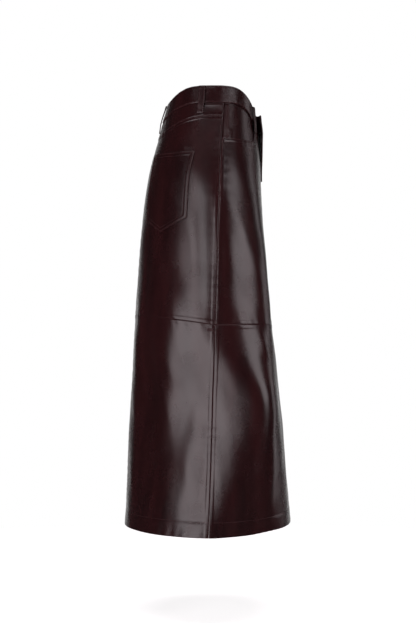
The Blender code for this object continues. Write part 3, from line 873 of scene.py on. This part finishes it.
def fly_front():
    """The lapped strip at the centre front with its curved stitching."""
    def top_at(distance):
        top = WAIST_SEAM_Z - FRONT_DIP + 0 * distance
        for _ in range(4):
            top = waist_seam_z(-distance / half_girth(top))
        return top
    u = spaced(0.044, 0.002, zone=0.006)[None, :]
    v = spaced(0.100, 0.0024, zone=0.006)[:, None]
    top_z = top_at(-LAP + (FLY_WIDTH + LAP) * u)
    z = top_z + (FLY_BOTTOM_Z - top_z) * v
    curve = np.maximum(v - FLY_CURVE_START, 0.0) / (1 - FLY_CURVE_START)
    left = np.maximum(FLY_WIDTH * np.sqrt(np.maximum(1 - curve ** 2, 0.0)), FLY_TIP)
    right = -LAP + (LAP - FLY_TIP) * v ** 3
    distance = right + (left - right) * u
    lift = (LAP_LIFT - LEATHER - LAY_GAP) * np.maximum(1 - v, 0.0) ** 1.5 * np.maximum(1 - u, 0.0)
    from_side = np.minimum(distance - right, left - distance)
    from_edge = np.minimum(from_side, np.minimum(top_z - z + 0.01, z - FLY_BOTTOM_Z))
    relief = edge_relief("strap", np.maximum(from_edge, 0.0))
    seat = LEATHER + LAY_GAP + lift
    share = -distance / half_girth(z)
    piece = shell("fly_front_leather", surface(share, z, seat + BAND_LEATHER + relief),
                  surface(share, z, seat), "fly_front")
    lines = []
    for off in FLY_STITCHES:
        along = np.linspace(0.02, 0.97, 90)
        bend = np.maximum(along - FLY_CURVE_START, 0.0) / (1 - FLY_CURVE_START)
        reach_left = np.maximum((FLY_WIDTH - off) * np.sqrt(np.maximum(1 - bend ** 2, 0.0)), 0.0)
        start_z = top_at(FLY_WIDTH - off)
        height = start_z + (FLY_BOTTOM_Z + off - start_z) * along
        right_here = -LAP + (LAP - FLY_TIP) * along ** 3
        left_here = np.maximum(FLY_WIDTH * np.sqrt(np.maximum(1 - bend ** 2, 0.0)), FLY_TIP)
        part = np.clip((reach_left - right_here) / (left_here - right_here), 0, 1)
        raised = (LAP_LIFT - LEATHER - LAY_GAP) * (1 - along) ** 1.5 * (1 - part)
        out = LEATHER + LAY_GAP + raised + BAND_LEATHER
        lines.append(stitch_path(-reach_left / half_girth(height), height, out))
    stitched("fly_stitches", lines)


FLY_STITCHES = (0.0025, 0.0085)
STRAP_STITCHES = (0.17, 0.83)


def belt_loop(name, share):
    """A strap from the rim to below the waist seam, bowed out to let a belt through."""
    top = float(rim_z(share))
    bottom = float(waist_seam_z(share)) - LOOP_BELOW_SEAM

    def out_at(v):
        ends = BAND_LEATHER + LAY_GAP
        bow = np.where((v > 0) & (v < 0.88), np.sin(math.pi * np.clip(v / 0.88, 0, 1)) ** 0.6, 0.0)
        low = (ends - LEATHER - LAY_GAP) * np.maximum(v - 0.7, 0.0) / 0.3
        return ends - low + LOOP_LIFT * bow
    u = np.linspace(0, 1, 15)[None, :]
    v = spaced(0.045, 0.0012, fine=0.0006, zone=0.004)[:, None]
    z = top + (bottom - top) * v + 0 * u
    place = share + (u - 0.5) * LOOP_WIDTH / half_girth(z)
    from_side = (0.5 - np.abs(u - 0.5)) * LOOP_WIDTH
    from_end = np.minimum(v, 1 - v) * (top - bottom)
    relief = edge_relief("strap", from_side) + edge_relief("pressed", from_end)
    piece = shell(name + "_leather", surface(place, z, out_at(v) + LOOP_LEATHER + relief),
                  surface(place, z, out_at(v) + 0 * u), name)
    along = np.linspace(0.04, 0.96, 50)
    lines = []
    for part in STRAP_STITCHES:
        height = top + (bottom - top) * along
        aside = share + (part - 0.5) * LOOP_WIDTH / half_girth(height)
        lines.append(stitch_path(aside, height, out_at(along) + LOOP_LEATHER - 0.0001))
    for end in (0.045, 0.955):
        height = top + (bottom - top) * (end + np.zeros(12))
        aside = share + np.linspace(-0.36, 0.36, 12) * LOOP_WIDTH / half_girth(height)
        lines.append(stitch_path(aside, height, out_at(end + np.zeros(12)) + LOOP_LEATHER))
    stitched(name + "_stitches", lines)


BUTTON_PROFILE = [(0.0, 0.72), (0.30, 0.70), (0.52, 0.62), (0.60, 0.56), (0.68, 0.66), (0.78, 0.92),
                  (0.88, 1.0), (0.96, 0.90), (1.0, 0.62), (1.0, 0.30), (0.95, 0.08), (0.88, 0.0), (0.0, 0.0)]
BUTTON_SIDES = 48


def waist_button():
    """A plain metal button with a raised rim, on the lapping end of the waistband."""
    girth = float(half_girth(0.0))
    middle_z = float((rim_z(0.0) + waist_seam_z(0.0)) / 2)

    def on_lap(aside, up):
        distance = BUTTON_OFFSET + aside
        return surface(-distance / girth, middle_z + up, lap_out(np.float64(distance)) + BAND_LEATHER)
    towards_right = on_lap(-BUTTON_RADIUS, 0.0) - on_lap(BUTTON_RADIUS, 0.0)
    upwards = on_lap(0.0, BUTTON_RADIUS) - on_lap(0.0, -BUTTON_RADIUS)
    outwards = np.cross(upwards, towards_right)
    outwards /= np.linalg.norm(outwards)
    along = towards_right / np.linalg.norm(towards_right)
    across_it = np.cross(outwards, along)
    seat = on_lap(0.0, 0.0) + outwards * LAY_GAP
    points, faces = [], []
    rings = BUTTON_PROFILE[1:-1]
    for radius, height in rings:
        for side in range(BUTTON_SIDES):
            angle = 2 * math.pi * side / BUTTON_SIDES
            aside = along * math.cos(angle) + across_it * math.sin(angle)
            points.append(seat + aside * radius * BUTTON_RADIUS + outwards * height * BUTTON_HEIGHT)
    for ring in range(len(rings) - 1):
        for side in range(BUTTON_SIDES):
            after = (side + 1) % BUTTON_SIDES
            a, b = ring * BUTTON_SIDES, (ring + 1) * BUTTON_SIDES
            faces.append((a + side, b + side, b + after, a + after))
    front, back = len(points), len(points) + 1
    points.append(seat + outwards * BUTTON_PROFILE[0][1] * BUTTON_HEIGHT)
    points.append(seat)
    last = (len(rings) - 1) * BUTTON_SIDES
    for side in range(BUTTON_SIDES):
        after = (side + 1) % BUTTON_SIDES
        faces.append((front, side, after))
        faces.append((back, last + after, last + side))
    mesh = bpy.data.meshes.new("waist_button_metal")
    mesh.from_pydata([tuple(p) for p in points], [], faces)
    mesh.shade_smooth()
    piece = bpy.data.objects.new("waist_button_metal", mesh)
    bpy.context.scene.collection.objects.link(piece)
    mesh.materials.append(METAL_FINISH)
    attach(piece, "root")
    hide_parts("waist_button")


for side_name, side_sign in (("right", 1), ("left", -1)):
    make_panels(side_name, side_sign)
    panel_stitches(side_name, side_sign)
    bartack(side_name, side_sign)
    pocket_facing(side_name, side_sign)
    back_pocket(side_name, side_sign)
waistband()
fly_front()
for loop_name, loop_share in LOOPS.items():
    belt_loop(loop_name, loop_share)
waist_button()


# ---------------------------------------------------------------- studio

def studio_world():
    """White to the camera; to the leather, a dim room with a pale backdrop behind it, towards +X."""
    world = bpy.data.worlds.new("studio")
    world.use_nodes = True
    bpy.context.scene.world = world
    tree = world.node_tree
    link = tree.links.new
    background = tree.nodes["Background"]
    place = node(tree, "ShaderNodeTexCoord")
    towards = node(tree, "ShaderNodeSeparateXYZ")
    link(place.outputs["Generated"], towards.inputs[0])
    backdrop = node(tree, "ShaderNodeMapRange", interpolation_type="SMOOTHSTEP")
    backdrop.inputs["From Min"].default_value = BACKDROP[0]
    backdrop.inputs["From Max"].default_value = BACKDROP[1]
    backdrop.inputs["To Min"].default_value = ROOM_LIGHT
    backdrop.inputs["To Max"].default_value = BACKDROP_LIGHT
    link(towards.outputs["X"], backdrop.inputs["Value"])
    paths = node(tree, "ShaderNodeLightPath")
    seen = node(tree, "ShaderNodeMix", data_type="FLOAT")
    link(paths.outputs["Is Camera Ray"], seen.inputs[0])
    link(backdrop.outputs["Result"], seen.inputs[2])
    seen.inputs[3].default_value = 1.0
    link(seen.outputs[0], background.inputs["Strength"])
    background.inputs["Color"].default_value = (1, 1, 1, 1)


BACKDROP = (0.88, 0.99)
ROOM_LIGHT = 0.02
BACKDROP_LIGHT = 0.80
FLOOR_Z = -1.0
FLOOR_RADIUS = 1.6


def studio():
    scene = bpy.context.scene
    camera = bpy.data.objects.new("camera", bpy.data.cameras.new("camera"))
    scene.collection.objects.link(camera)
    camera.location = (-4.0, 0.007, -0.404)
    camera.rotation_euler = (math.pi / 2, 0, -math.pi / 2)
    camera.data.lens = 115.4
    camera.data.sensor_width = 36
    scene.camera = camera
    scene.view_settings.view_transform = "Standard"
    studio_world()

    def softbox(name, location, size, power, target=(0, 0, -0.40)):
        light = bpy.data.lights.new(name, "AREA")
        light.shape = "RECTANGLE"
        light.size, light.size_y = size
        light.energy = power
        light.color = (1.0, 0.92, 0.955)
        lamp = bpy.data.objects.new(name, light)
        lamp.location = location
        lamp.rotation_euler = (Vector(target) - Vector(location)).to_track_quat("-Z", "Y").to_euler()
        scene.collection.objects.link(lamp)
    softbox("softbox_front", (-1.55, -1.93, 0.42), (1.75, 1.10), 21)
    softbox("softbox_back", (-1.78, 1.72, -0.45), (1.36, 2.10), 33)
    softbox("rim_front", (1.4, -2.07, -0.3), (0.5, 2.0), 4)
    softbox("softbox_top", (-0.3, 0, 2.3), (3.0, 3.0), 60, (0, 0, 0))

    floor = bpy.data.meshes.new("floor")
    ring = [(FLOOR_RADIUS * math.cos(math.pi * i / 48), FLOOR_RADIUS * math.sin(math.pi * i / 48), FLOOR_Z)
            for i in range(96)]
    floor.from_pydata(ring, [], [tuple(range(96))])
    floor_object = bpy.data.objects.new("floor", floor)
    scene.collection.objects.link(floor_object)
    pale = bpy.data.materials.new("pale_floor")
    pale.use_nodes = True
    pale.node_tree.nodes["Principled BSDF"].inputs["Base Color"].default_value = (0.9, 0.9, 0.9, 1)
    pale.node_tree.nodes["Principled BSDF"].inputs["Roughness"].default_value = 0.9
    pale.node_tree.nodes["Principled BSDF"].inputs["Emission Color"].default_value = (1, 1, 1, 1)
    pale.node_tree.nodes["Principled BSDF"].inputs["Emission Strength"].default_value = 0.72
    floor.materials.append(pale)
    floor_object.visible_glossy = False


studio()
